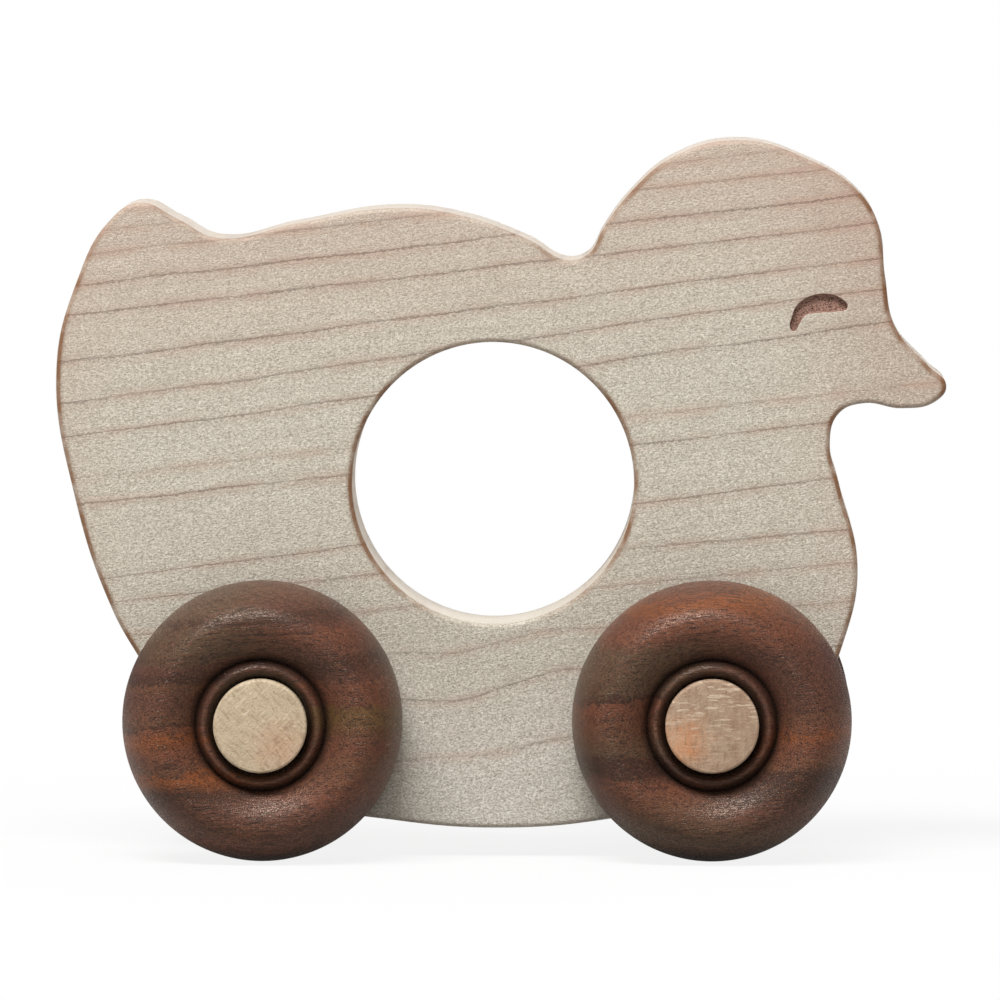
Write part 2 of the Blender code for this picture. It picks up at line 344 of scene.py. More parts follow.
class Skin:
    """Points, faces and point values gathered for one mesh."""

    def __init__(self):
        self.points = np.zeros((0, 3))
        self.faces = []
        self.smooth = []
        self.values = {}

    def add_points(self, points, **values):
        """Add points in any grid shape and return their numbers in the same shape."""
        first = len(self.points)
        points = np.asarray(points)
        shape = points.shape[:-1]
        count = int(np.prod(shape))
        self.points = np.concatenate((self.points, points.reshape(-1, 3)))
        for name in dict.fromkeys((*self.values, *values)):
            old = self.values.get(name, np.zeros(first))
            new = np.broadcast_to(values.get(name, 0.0), shape).reshape(-1)
            self.values[name] = np.concatenate((old, new))
        return np.arange(first, first + count).reshape(shape)

    def add_faces(self, faces, smooth=True):
        """Add an array of faces."""
        self.faces += faces.tolist()
        self.smooth += [smooth] * len(faces)

    def add_grid(self, grid, closed_rows=False, flip=False):
        """Add the quads of a grid of point numbers whose columns close on themselves."""
        upper = np.roll(grid, -1, axis=0) if closed_rows else grid[1:]
        lower = grid if closed_rows else grid[:-1]
        quads = np.stack((lower, upper, np.roll(upper, -1, 1), np.roll(lower, -1, 1)), axis=-1)
        quads = quads.reshape(-1, 4)
        self.add_faces(quads[:, ::-1] if flip else quads)

    def add_fan(self, ring, middle, flip=False):
        """Add the triangles from a ring to the point in its middle."""
        fan = np.stack((ring, np.roll(ring, -1), np.full_like(ring, middle)), axis=-1)
        self.add_faces(fan[:, ::-1] if flip else fan)

    def fill(self, rings, flip=False):
        """Fill the flat face between the first ring and the rings inside it.

        The triangles are Delaunay triangles held to the rings' edges. One stays if a
        line from its middle along +X crosses the rings an odd number of times.
        """
        number = np.concatenate(rings)
        flat = self.points[number][:, (0, 2)] * MM
        starts = np.cumsum([0, *(len(ring) for ring in rings[:-1])])
        edges = np.concatenate([
            np.stack((np.arange(len(r)), np.roll(np.arange(len(r)), -1)), -1) + start
            for start, r in zip(starts, rings)
        ])
        made = delaunay_2d_cdt(flat.tolist(), edges.tolist(), [], 1, 1e-6)
        source = np.array(made[3])[:, 0]
        triangles = source[np.array(made[2])]
        x, z = flat[triangles].mean(1).T[..., None]
        (ax, az), (bx, bz) = flat[edges[:, 0]].T, flat[edges[:, 1]].T
        across = (az > z) != (bz > z)
        rise = np.where(bz == az, 1.0, bz - az)
        hits = across & (x < (bx - ax) * (z - az) / rise + ax)
        triangles = number[triangles[hits.sum(1) % 2 == 1]]
        self.add_faces(triangles[:, ::-1] if flip else triangles, smooth=False)

    def piece(self, name, body, material):
        """Make the mesh object that stands for one node."""
        mesh = bpy.data.meshes.new(name)
        mesh.from_pydata(self.points.tolist(), [], self.faces)
        mesh.polygons.foreach_set("use_smooth", self.smooth)
        for value, numbers in self.values.items():
            layer = mesh.attributes.new(value, "FLOAT", "POINT")
            layer.data.foreach_set("value", numbers.astype(np.float32))
        mesh.materials.append(material)
        if mesh.validate():
            raise RuntimeError(f"{name} has a bad face")
        obj = bpy.data.objects.new(name + "_wood", mesh)
        bpy.context.scene.collection.objects.link(obj)
        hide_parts(name)
        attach(obj, body)
        return obj


def smooth_loop(landmarks):
    """Return a closed smooth curve through landmarks on the board's grid.

    At a landmark the direction is the mean of the unit steps into and out of it.
    Each span is a cubic whose two handles follow those directions for a fixed share
    of the span.
    """
    grid = np.array(landmarks) / 100
    low, high = np.array(BOARD_LOW)[[0, 2]], np.array(BOARD_HIGH)[[0, 2]]
    point = low + grid * (high - low)
    step_in, step_out = point - np.roll(point, 1, 0), np.roll(point, -1, 0) - point
    span_in = np.linalg.norm(step_in, axis=1, keepdims=True)
    span_out = np.linalg.norm(step_out, axis=1, keepdims=True)
    way = step_in / span_in + step_out / span_out
    way /= np.linalg.norm(way, axis=1, keepdims=True)
    before, after = point - HANDLE_SPANS * span_in * way, point + HANDLE_SPANS * span_out * way
    t = (np.arange(OUTLINE_STEPS) / OUTLINE_STEPS)[None, :, None]
    corners = (point, after, np.roll(before, -1, 0), np.roll(point, -1, 0))
    start, near, far, stop = (corner[:, None] for corner in corners)
    loop = start * (1 - t) ** 3 + 3 * near * t * (1 - t) ** 2
    loop = loop + 3 * far * t**2 * (1 - t) + stop * t**3
    return loop.reshape(-1, 2)


def round_loop(centre, radius, sides):
    """Return a circle that runs clockwise, with the wood on its outside.

    Each point is the centre plus the radius times the cosine and the sine of a turn
    that falls from nought by one full round.
    """
    turn = -2 * pi * np.arange(sides) / sides
    return np.stack((centre.x + radius * np.cos(turn), centre.z + radius * np.sin(turn)), axis=-1)


def carry(section, loop):
    """Carry a section along a closed loop; return its points and how far they face along X.

    At a loop point p with n pointing out of the wood, the section point (out, depth)
    lands at p + out * n in the board's plane and at depth along Y.
    """
    way = np.roll(loop, -1, 0) - np.roll(loop, 1, 0)
    out = np.stack((way[:, 1], -way[:, 0]), axis=-1)
    out /= np.linalg.norm(out, axis=1, keepdims=True)
    flat = loop[None] + section[:, None, :1] * out[None]
    depth = np.broadcast_to(section[:, 1:], flat.shape[:2])
    end_grain = np.broadcast_to(np.abs(out[:, 0]), depth.shape)
    return np.stack((flat[..., 0], depth, flat[..., 1]), axis=-1), end_grain


def revolve(centre, radius, depth, sides):
    """Turn a section round the line along Y through a centre.

    A section point lands at its depth along Y, and at the centre's x and z plus its
    radius times the cosine and the sine of the turn.
    """
    turn = 2 * pi * np.arange(sides) / sides
    radius = radius[:, None]
    y = np.broadcast_to(depth[:, None], (len(depth), sides))
    return np.stack((centre.x + radius * np.cos(turn), y, centre.z + radius * np.sin(turn)), -1)


def edge_section(half, radius, rim=0.0006):
    """Return the board's rounded edge as (out, depth) with how far round each point is.

    A quarter round, (r sin t - r, r - r cos t - half) for t from 0 to a right angle,
    and its mirror image, with a narrow flat rim before and after them. How far round
    is 0 on the rim and grows from 0.2 to 1 on the round.
    """
    t = np.linspace(0, pi / 2, EDGE_STEPS + 1)
    front = np.stack((radius * np.sin(t) - radius, radius - radius * np.cos(t) - half), -1)
    front = np.concatenate((((-radius - rim, -half),), front))
    turned = np.concatenate(((0.0,), 0.2 + 0.8 * t / (pi / 2)))
    section = np.concatenate((front, front[::-1] * (1, -1)))
    return section, np.concatenate((turned, turned[::-1]))


def eye_section(half, depth, lip, draft=0.0001):
    """Return the engraved eye's wall as (out, depth) with how scorched each point is.

    The lip is a quarter round, (r sin t - r, r - r cos t) for t from 0 to a right angle.
    Three points then go down to the floor and lean inwards by the draft, more each time.
    """
    t = np.linspace(0, pi / 2, LIP_STEPS + 1)
    rim = np.stack((lip * np.sin(t) - lip, lip - lip * np.cos(t)), -1)
    wall = np.array(((0.4 * draft, 0.7 * depth), (draft, 0.92 * depth), (2.2 * draft, depth)))
    scorch = np.array((0.0, 0.05, 0.15, 0.3, 0.5, 0.8, 0.75, 0.5))
    return np.concatenate((rim, wall)) + (0.0, -half), scorch


def wheel_section(wheels):
    """Return a wheel's section as radius, depth and painted shade, from its back face.

    Back edge: a quarter round. Shoulder: a quarter ellipse from the tread to the
    crest. Dish: a quarter cosine wave that ends steeply at the valley. Bead: half a
    sine wave. The painted shade is 1 in the corners beside the bead, where shade falls.
    """
    crest, tread = WHEEL_RADIUS - wheels.shoulder_reach, wheels.back_round + wheels.tread_width
    valley = wheels.bore_radius + wheels.bead_width
    t = np.linspace(0, 1, SECTION_STEPS + 1)
    quarter = t * pi / 2
    back = np.stack((
        WHEEL_RADIUS - wheels.back_round * (1 - np.sin(quarter)),
        wheels.back_round * (1 - np.cos(quarter)),
        0 * t,
    ), -1)[::2]
    shoulder = np.stack((
        crest + wheels.shoulder_reach * np.cos(quarter),
        tread + (WHEEL_WIDTH - tread) * np.sin(quarter),
        0 * t,
    ), -1)
    dish = np.stack((
        crest + (valley - crest) * t,
        WHEEL_WIDTH - wheels.dish_depth * (1 - np.cos(quarter)),
        np.interp(t, (0.8, 1.0), (0.0, 1.0)),
    ), -1)[1:]
    bead = np.stack((
        valley + (wheels.bore_radius - valley) * t,
        WHEEL_WIDTH - wheels.dish_depth + wheels.bead_height * np.sin(pi * t),
        np.interp(t, (0.0, 0.45, 0.8), (1.0, 0.0, 1.0)),
    ), -1)[1:]
    return np.concatenate((((wheels.bore_radius, 0.0, 0.0),), back, shoulder, dish, bead)).T


def axle_section(axles):
    """Return a dowel's section as radius and depth, from one end to the other.

    End: a shallow dome whose fall grows with the square of the radius, then a quarter
    round. The other end is its mirror image.
    """
    t = np.linspace(0, 1, END_STEPS + 1)[1:]
    quarter = t * pi / 2
    dome = HALF_AXLE - axles.end_dome * t**2
    ring = np.concatenate((
        (AXLE_RADIUS - axles.end_ease) * t,
        AXLE_RADIUS - axles.end_ease * (1 - np.sin(quarter)),
    ))
    depth = np.concatenate((dome, dome[-1] - axles.end_ease * (1 - np.cos(quarter))))
    return np.concatenate((ring, ring[::-1])), np.concatenate((-depth, depth[::-1]))


def put(tree, kind, feeds=(), **settings):
    """Add a shader node; feeds gives an input's name or number a value or a socket."""
    node = tree.nodes.new("ShaderNode" + kind)
    place = len(tree.nodes) - 1
    node.location = (230 * (place // 5), -260 * (place % 5))
    for name, value in settings.items():
        setattr(node, name, value)
    for name, value in dict(feeds).items():
        if isinstance(value, bpy.types.NodeSocket):
            tree.links.new(value, node.inputs[name])
        elif len(np.shape(value)) and len(value) == 3 and node.inputs[name].type == "RGBA":
            node.inputs[name].default_value = (*value, 1.0)
        else:
            node.inputs[name].default_value = value
    return node


def calc(tree, operation, *values):
    """Add a Math node and return its result."""
    return put(tree, "Math", enumerate(values), operation=operation).outputs[0]


def times(tree, first, second):
    """Return the product of two values."""
    return calc(tree, "MULTIPLY", first, second)


def sway(tree, value, reach):
    """Carry a value from 0..1 to -reach..reach."""
    return calc(tree, "MULTIPLY_ADD", value, 2 * reach, -reach)


def vector_calc(tree, operation, *points):
    """Add a Vector Math node; return its point, or its number for a distance or length."""
    node = put(tree, "VectorMath", enumerate(points), operation=operation)
    return node.outputs["Value" if operation in ("DISTANCE", "LENGTH") else "Vector"]


def spin(tree, point, turn, axis):
    """Turn a point about the X, Y or Z axis."""
    feeds = {"Vector": point, "Angle": turn}
    return put(tree, "VectorRotate", feeds, rotation_type=axis + "_AXIS").outputs[0]


def split(tree, point):
    """Return a point's three numbers."""
    return put(tree, "SeparateXYZ", {0: point}).outputs


def blend(tree, factor, first, second):
    """Mix two colours and return the result."""
    feeds = {0: factor, 6: first, 7: second}
    return put(tree, "Mix", feeds, data_type="RGBA").outputs[2]


def ease(tree, value, low, high, bottom=0.0, top=1.0):
    """Carry a value smoothly from low..high to bottom..top."""
    feeds = {0: value, 1: low, 2: high, 3: bottom, 4: top}
    return put(tree, "MapRange", feeds, interpolation_type="SMOOTHSTEP").outputs[0]


def noise(tree, point, detail=2.0):
    """Return a noise value at a point."""
    feeds = {"Vector": point, "Scale": 1.0, "Detail": detail, "Roughness": 0.55}
    return put(tree, "TexNoise", feeds).outputs[0]


def stretch(tree, point, along, across):
    """Divide a point in millimetres by a grain size along and across the grain."""
    size = put(tree, "CombineXYZ", {0: along, 1: across, 2: across}).outputs[0]
    return vector_calc(tree, "DIVIDE", point, size)


def ramp(tree, value, stops):
    """Return a colour ramp's colour; stops are places with a grey value or a colour."""
    node = put(tree, "ValToRGB", {0: value})
    elements = node.color_ramp.elements
    while len(elements) < len(stops):
        elements.new(0.5)
    for element, (place, tone) in zip(elements, stops):
        element.position = place
        element.color = (*tone, 1.0) if np.shape(tone) else (tone, tone, tone, 1.0)
    return node.outputs[0]


def wood_fibre_group():
    """Return the group that every wood here shares, made once.

    From a point in millimetres with the grain along X it gives fine flecks, long
    streaks, broad mottling, open pores and the finest grit, each a stretched noise.
    """
    name = "Wood Fibre"
    if name in bpy.data.node_groups:
        return bpy.data.node_groups[name]
    tree = bpy.data.node_groups.new(name, "ShaderNodeTree")
    tree.interface.new_socket("Vector", in_out="INPUT", socket_type="NodeSocketVector")
    kinds = ("Fleck", "Streak", "Pore")
    sizes = [f"{kind} {way}" for kind in kinds for way in ("Length", "Width")]
    for label in (*sizes, "Pore Share"):
        tree.interface.new_socket(label, in_out="INPUT", socket_type="NodeSocketFloat")
    for label in ("Flecks", "Streaks", "Mottle", "Pores", "Grit"):
        tree.interface.new_socket(label, in_out="OUTPUT", socket_type="NodeSocketFloat")
    given = tree.nodes.new("NodeGroupInput").outputs

    def grain(along, across, detail):
        return noise(tree, stretch(tree, given["Vector"], along, across), detail)

    flecks = grain(given["Fleck Length"], given["Fleck Width"], 2.0)
    streaks = grain(given["Streak Length"], given["Streak Width"], 3.0)
    mottle = grain(34.0, 9.0, 1.5)
    pores = grain(given["Pore Length"], given["Pore Width"], 1.0)
    grit = grain(0.2, 0.16, 1.0)
    # The more pores there are, the lower the noise at which one opens.
    opens = calc(tree, "SUBTRACT", 0.80, times(tree, given["Pore Share"], 0.4))
    results = {
        "Flecks": ease(tree, flecks, 0.3, 0.7),
        "Streaks": ease(tree, streaks, 0.3, 0.7),
        "Mottle": ease(tree, mottle, 0.32, 0.68),
        "Pores": ease(tree, pores, opens, calc(tree, "ADD", opens, 0.09)),
        "Grit": ease(tree, grit, 0.28, 0.72),
    }
    given_back = tree.nodes.new("NodeGroupOutput")
    for label, socket in results.items():
        tree.links.new(socket, given_back.inputs[label])
    return tree


def wood_fibre(tree, point, fleck, streak, pore, pore_share):
    """Place the shared group with its own sizes, each (length, width) in millimetres."""
    node = put(tree, "Group", node_tree=wood_fibre_group())
    tree.links.new(point, node.inputs["Vector"])
    for label, size in (("Fleck", fleck), ("Streak", streak), ("Pore", pore)):
        node.inputs[label + " Length"].default_value = size[0]
        node.inputs[label + " Width"].default_value = size[1]
    node.inputs["Pore Share"].default_value = pore_share
    return node.outputs


def new_material(name):
    """Start a material; return it with its node tree and its shader."""
    material = bpy.data.materials.new(name)
    material.use_nodes = True
    tree = material.node_tree
    tree.nodes["Material Output"].location = (2600, 0)
    shader = tree.nodes["Principled BSDF"]
    shader.location = (2300, 0)
    return material, tree, shader


def grain_point(tree, turn=0.0, centre=Vector()):
    """Return the place on the piece in millimetres, turned about Y, then from a centre.

    The turn lays the grain along X. Places along Y stay as they are.
    """
    feeds = {
        "Vector": put(tree, "TexCoord").outputs["Object"],
        "Location": (-MM * centre.x, 0.0, -MM * centre.z),
        "Rotation": (0.0, turn, 0.0),
        "Scale": (MM, MM, MM),
    }
    return put(tree, "Mapping", feeds).outputs[0]


def attribute(tree, name):
    """Return a point value of the mesh."""
    return put(tree, "Attribute", attribute_name=name).outputs["Fac"]


def finish_shader(tree, shader, tone, rough, height, depth):
    """Feed a wood's colour, roughness and relief into its shader."""
    tree.links.new(tone, shader.inputs["Base Color"])
    tree.links.new(rough, shader.inputs["Roughness"])
    bump = put(tree, "Bump", {"Strength": 0.5, "Distance": depth, "Height": height})
    tree.links.new(bump.outputs[0], shader.inputs["Normal"])


def growth_lines(tree, x, level, drift):
    """Return how strongly a growth line shows at a point, and how rosy the wood beside it is.

    The level is the point's height in millimetres where an average line through it
    crosses the board's middle. A first ramp turns it into the line's own height, by the
    rise of the lines near it. Each line is then a thin spike on a ramp that holds a few.
    """
    place = calc(tree, "DIVIDE", level, RISE_SPAN)
    rise = ramp(tree, place, [(middle / RISE_SPAN, slope) for middle, slope, _ in GROWTH_LINES])
    height = calc(tree, "ADD", level, drift)
    height = calc(tree, "SUBTRACT", height, times(tree, x, rise))
    both = (0.0, 0.0, 0.0)
    for first in range(0, len(GROWTH_LINES), LINES_PER_RAMP):
        lines = GROWTH_LINES[first:first + LINES_PER_RAMP]
        low, high = lines[0][0] - RAMP_MARGIN, lines[-1][0] + RAMP_MARGIN
        stops = [
            ((middle + shift - low) / (high - low), (spike * strength, halo, 0.0))
            for middle, _, strength in lines for shift, spike, halo in LINE_SECTION
        ]
        place = calc(tree, "DIVIDE", calc(tree, "SUBTRACT", height, low), high - low)
        both = vector_calc(tree, "MAXIMUM", ramp(tree, place, stops), both)
    return split(tree, both)[:2]


def maple_board(board):
    """Make the sanded maple: growth lines, fibre, blush, browned edges, scorched eye."""
    material, tree, shader = new_material("maple_board")
    point = grain_point(tree, board.grain_tilt)
    fibre = wood_fibre(
        tree, point, fleck=(0.42, 0.22), streak=(16.0, 0.5), pore=(1.4, 0.14), pore_share=0.4
    )
    x, _, z = split(tree, point)
    from_middle = calc(tree, "ABSOLUTE", x)
    level = times(tree, z, 1 / cos(board.grain_tilt))

    # The lines rise much more steeply in a spot below the hole, and wander a little.
    away = vector_calc(tree, "DISTANCE", point, STEEP_SPOT)
    steep = ease(tree, away, *STEEP_REACH, STEEP_RISE, 0.0)
    steep = times(tree, calc(tree, "SUBTRACT", x, STEEP_SPOT[0]), steep)
    wave = sway(tree, noise(tree, stretch(tree, point, 14.0, 12.0)), 0.5)
    ragged = sway(tree, fibre["Flecks"], 0.12)
    drift = calc(tree, "ADD", wave, calc(tree, "SUBTRACT", ragged, steep))
    drift = calc(tree, "MULTIPLY_ADD", x, tan(board.grain_tilt), drift)
    lines, halo = growth_lines(tree, x, level, drift)
    lines = times(tree, lines, ease(tree, fibre["Streaks"], 0.0, 0.6, 0.7, 1.0))

    # Fibre on pale wood, palest at the belly, darker towards the rump and the bill; the paler
    # colour at the belly is painted light, making up for the shade low on the board.
    grain = times(tree, fibre["Flecks"], 0.45)
    grain = calc(tree, "MULTIPLY_ADD", fibre["Grit"], 0.55, grain)
    pale = blend(tree, ease(tree, level, 6.0, 32.0, 0.8, 0.0), board.pale, board.painted_belly_light)
    tone = blend(tree, grain, pale, board.fibre)
    tone = blend(tree, times(tree, fibre["Streaks"], 0.2), tone, board.fibre)
    tips = ease(tree, from_middle, 46.0, 62.0, 0.0, 0.3)
    tone = blend(tree, times(tree, grain, tips), tone, board.line)

    # Blush beside the growth lines, on the back and head, and at both ends.
    uneven = noise(tree, stretch(tree, point, 7.0, 2.5))
    rosy = times(tree, halo, ease(tree, uneven, 0.38, 0.6, 0.05, 0.36))
    rosy = calc(tree, "ADD", rosy, ease(tree, level, 62.0, 95.0, 0.03, 0.36))
    rosy = calc(tree, "ADD", rosy, ease(tree, from_middle, 40.0, 64.0, 0.0, 0.3))
    tone = blend(tree, rosy, tone, board.blush)
    tone = blend(tree, times(tree, fibre["Pores"], 0.3), tone, board.line)
    tone = blend(tree, times(tree, lines, 0.8), tone, board.line)

    # Sanding browns the end grain on the rounded edges, unevenly.
    turned = attribute(tree, "edge")
    edge = ease(tree, turned, 0.7, 0.95, 1.0, 0.15)
    edge = times(tree, ease(tree, turned, 0.05, 0.42), edge)
    tone = blend(tree, ease(tree, turned, 0.8, 1.0, 0.0, 0.6), tone, board.wall)
    ends = ease(tree, attribute(tree, "end_grain"), 0.2, 0.9, 0.15, 1.0)
    patchy = ease(tree, noise(tree, stretch(tree, point, 4.0, 4.0), 3.0), 0.3, 0.62, 0.35, 1.0)
    brown = times(tree, times(tree, edge, ends), patchy)
    tone = blend(tree, times(tree, brown, 0.92), tone, board.burnish)

    # The eye's floor is toasted and specked, its wall burnt.
    scorch = attribute(tree, "scorch")
    specks = calc(tree, "MULTIPLY_ADD", fibre["Grit"], 1.7, -0.6)
    floor = blend(tree, specks, board.engraved, board.burnt)
    tone = blend(tree, ease(tree, scorch, 0.0, 0.5), tone, floor)
    tone = blend(tree, ease(tree, scorch, 0.6, 1.0), tone, board.burnt)

    rough = ease(tree, fibre["Flecks"], 0.0, 1.0, board.roughness - 0.05, board.roughness + 0.07)
    relief = calc(tree, "SUBTRACT", grain, times(tree, lines, 0.5))
    finish_shader(tree, shader, tone, rough, relief, 0.0001)
    return material


def walnut(wheels, name, centre, seed):
    """Make one wheel's oiled walnut: colour bands, streaks, specks, pores, a satin shine."""
    material, tree, shader = new_material("walnut_" + name)
    point = spin(tree, grain_point(tree, centre=centre), wheels.grain_tilt, "Y")
    along, across = NEXT_WHEEL
    cut = vector_calc(tree, "ADD", point, (seed * along, seed * across, 0.0))
    fibre = wood_fibre(
        tree, cut, fleck=(2.4, 0.26), streak=(14.0, 0.7), pore=(2.0, 0.17), pore_share=0.62
    )
    x, _, z = split(tree, point)

    # The bands follow the height on the wheel, wave slowly and have ragged borders.
    wave = sway(tree, noise(tree, stretch(tree, cut, 16.0, 9.0)), 1.6)
    ragged = sway(tree, fibre["Streaks"], 0.45)
    height = calc(tree, "ADD", z, calc(tree, "ADD", wave, ragged))
    height = calc(tree, "MULTIPLY_ADD", height, 0.5 / (MM * WHEEL_RADIUS), 0.5)
    bands = [
        ramp(tree, height, [(place, getattr(wheels, tone)) for place, tone in side])
        for side in WHEEL_BANDS[name]
    ]
    tone = blend(tree, ease(tree, calc(tree, "ADD", x, wave), -6.0, 6.0), *bands)

    # Fibre, from the broadest to the finest, and painted shade in the corners round the bead.
    tone = blend(tree, times(tree, fibre["Mottle"], 0.12), tone, wheels.heart)
    tone = blend(tree, ease(tree, fibre["Streaks"], 0.45, 1.0, 0.0, 0.5), tone, wheels.dark)
    tone = blend(tree, ease(tree, fibre["Flecks"], 0.45, 1.0, 0.0, 0.35), tone, wheels.red)
    tone = blend(tree, ease(tree, fibre["Grit"], 0.4, 1.0, 0.0, 0.55), tone, wheels.dark)
    tone = blend(tree, ease(tree, fibre["Grit"], 0.0, 0.42, 0.24, 0.0), tone, wheels.speck)
    tone = blend(tree, times(tree, fibre["Pores"], 0.75), tone, wheels.pore)
    # Painted shade: the groove colour darkens the corners beside the bead.
    tone = blend(tree, times(tree, attribute(tree, "hollow"), 0.96), tone, wheels.groove_shade)

    rough = wheels.roughness
    rough = ease(tree, fibre["Grit"], 0.3, 0.75, rough - 0.04, rough + 0.24)
    relief = times(tree, fibre["Flecks"], 0.5)
    relief = calc(tree, "MULTIPLY_ADD", fibre["Grit"], 0.7, relief)
    relief = calc(tree, "SUBTRACT", relief, times(tree, fibre["Pores"], 1.6))
    finish_shader(tree, shader, tone, rough, relief, 0.00005)
    shader.inputs["Specular IOR Level"].default_value = wheels.shine
    shader.inputs["Specular Tint"].default_value = (*wheels.oil, 1.0)
    return material


def maple_dowel(axles, end, centre, stain_spot):
    """Make one dowel's maple: rays and a warm patch on its ends, long grain on its side."""
    material, tree, shader = new_material(f"maple_dowel_{end}_axle")
    wood, stain, slant, dashes = (
        getattr(axles, f"{end}_{kind}") for kind in ("wood", "stain", "slant", "dashes")
    )
    point = grain_point(tree, centre=centre)
    fibre = wood_fibre(
        tree, spin(tree, point, -pi / 2, "Z"),
        fleck=(9.0, 0.34), streak=(40.0, 1.4), pore=(12.0, 0.2), pore_share=0.42,
    )

    # On the cut ends the pattern hardly changes with depth. Rays fade towards the bottom.
    face = vector_calc(tree, "MULTIPLY", point, (1.0, 0.04, 1.0))
    across = spin(tree, face, slant, "Y")
    rays = noise(tree, stretch(tree, across, 1.9, 0.3), 1.0)
    rays = ease(tree, rays, 0.54, 0.7, 0.0, dashes)
    rays = times(tree, rays, ease(tree, split(tree, face)[2], -2.5, 2.0, 0.3, 1.0))
    bars = noise(tree, vector_calc(tree, "DIVIDE", across, (0.5, 0.5, 1.9)))
    bars = ease(tree, bars, 0.45, 0.68, 0.0, 0.8 * dashes)
    away = vector_calc(tree, "DISTANCE", face, stain_spot)
    uneven = sway(tree, noise(tree, stretch(tree, across, 2.2, 1.6)), 1.5)
    patch = ease(tree, calc(tree, "ADD", away, uneven), 0.6, 5.4, 0.85, 0.0)

    tone = blend(tree, patch, wood, stain)
    tone = blend(tree, bars, tone, axles.pore)
    tone = blend(tree, rays, tone, axles.ray)
    tone = blend(tree, times(tree, fibre["Streaks"], 0.25), tone, axles.ray)
    tone = blend(tree, times(tree, fibre["Flecks"], 0.2), tone, axles.pore)
    tone = blend(tree, times(tree, fibre["Pores"], 0.5), tone, axles.pore)
    rough = ease(tree, fibre["Flecks"], 0.0, 1.0, axles.roughness - 0.05, axles.roughness + 0.08)
    relief = calc(tree, "SUBTRACT", calc(tree, "ADD", fibre["Flecks"], rays), fibre["Pores"])
    finish_shader(tree, shader, tone, rough, relief, 0.00006)
    return material


class DUCK_OT_board(bpy.types.Operator):
    """Make the duck's maple board with its finger hole, axle bores and engraved eyes"""

    bl_idname = "duck.board"
    bl_label = "Maple Board"

    def execute(self, context):
        board = context.scene.duck_board
        skin = Skin()
        rims = []
        section, turned = edge_section(HALF_BOARD, board.edge_round)
        finger = round_loop(HOLE_CENTRE, board.hole_radius, HOLE_SIDES)
        for loop in (smooth_loop(BOARD_OUTLINE), finger):
            grid, end_grain = carry(section, loop)
            band = skin.add_points(grid, edge=turned[:, None], end_grain=end_grain)
            skin.add_grid(band)
            rims.append((band[0], band[-1]))
        section = np.array(((0.0, -HALF_BOARD), (0.0, HALF_BOARD)))
        for centre in AXLE_POINTS.values():
            grid, _ = carry(section, round_loop(centre, board.bore_radius, BORE_SIDES))
            band = skin.add_points(grid)
            skin.add_grid(band)
            rims.append((band[0], band[-1]))
        # The eye's loop runs backwards, so that its way out of the wood is inwards.
        section, scorch = eye_section(HALF_BOARD, board.eye_depth, board.eye_lip)
        grid, _ = carry(section, smooth_loop(EYE_OUTLINE)[::-1])
        near = skin.add_points(grid, scorch=scorch[:, None])
        far = skin.add_points(grid * (1, -1, 1), scorch=scorch[:, None])
        skin.add_grid(near)
        skin.add_grid(far, flip=True)
        skin.fill([near[-1]])
        skin.fill([far[-1]], flip=True)
        rims.append((near[0], far[0]))
        skin.fill([rim[0] for rim in rims])
        skin.fill([rim[1] for rim in rims], flip=True)
        skin.piece("duck_body", "body", maple_board(board))
        return {"FINISHED"}


class DUCK_OT_wheels(bpy.types.Operator):
    """Turn the four walnut wheels"""

    bl_idname = "duck.wheels"
    bl_label = "Walnut Wheels"

    def execute(self, context):
        wheels = context.scene.duck_wheels
        radius, depth, hollow = wheel_section(wheels)
        for seed, name in enumerate(WHEEL_BANDS):
            end, side, _ = name.split("_")
            body = end + "_wheelset"
            centre, sign = AXLE_POINTS[body], 1 if side == "left" else -1
            skin = Skin()
            grid = revolve(centre, radius, sign * (WHEEL_LOW.y + depth), WHEEL_SIDES)
            band = skin.add_points(grid, hollow=hollow[:, None])
            skin.add_grid(band, closed_rows=True, flip=sign < 0)
            material = walnut(wheels, name, centre, seed)
            wheel = skin.piece(name, body, material)
            wheel.data.set_sharp_from_angle(angle=SHARP_FOLD)
        return {"FINISHED"}


class DUCK_OT_axles(bpy.types.Operator):
    """Cut the two dowel axles"""

    bl_idname = "duck.axles"
    bl_label = "Dowel Axles"

    def execute(self, context):
        axles = context.scene.duck_axles
        radius, depth = axle_section(axles)
        for end, spot in STAIN_SPOTS.items():
            name, body = end + "_axle", end + "_wheelset"
            centre = AXLE_POINTS[body]
            skin = Skin()
            band = skin.add_points(revolve(centre, radius, depth, AXLE_SIDES))
            poles = skin.add_points([(centre.x, y, centre.z) for y in (-HALF_AXLE, HALF_AXLE)])
            skin.add_grid(band)
            skin.add_fan(band[0], poles[0])
            skin.add_fan(band[-1], poles[1], flip=True)
            material = maple_dowel(axles, end, centre, spot)
            skin.piece(name, body, material)
        return {"FINISHED"}


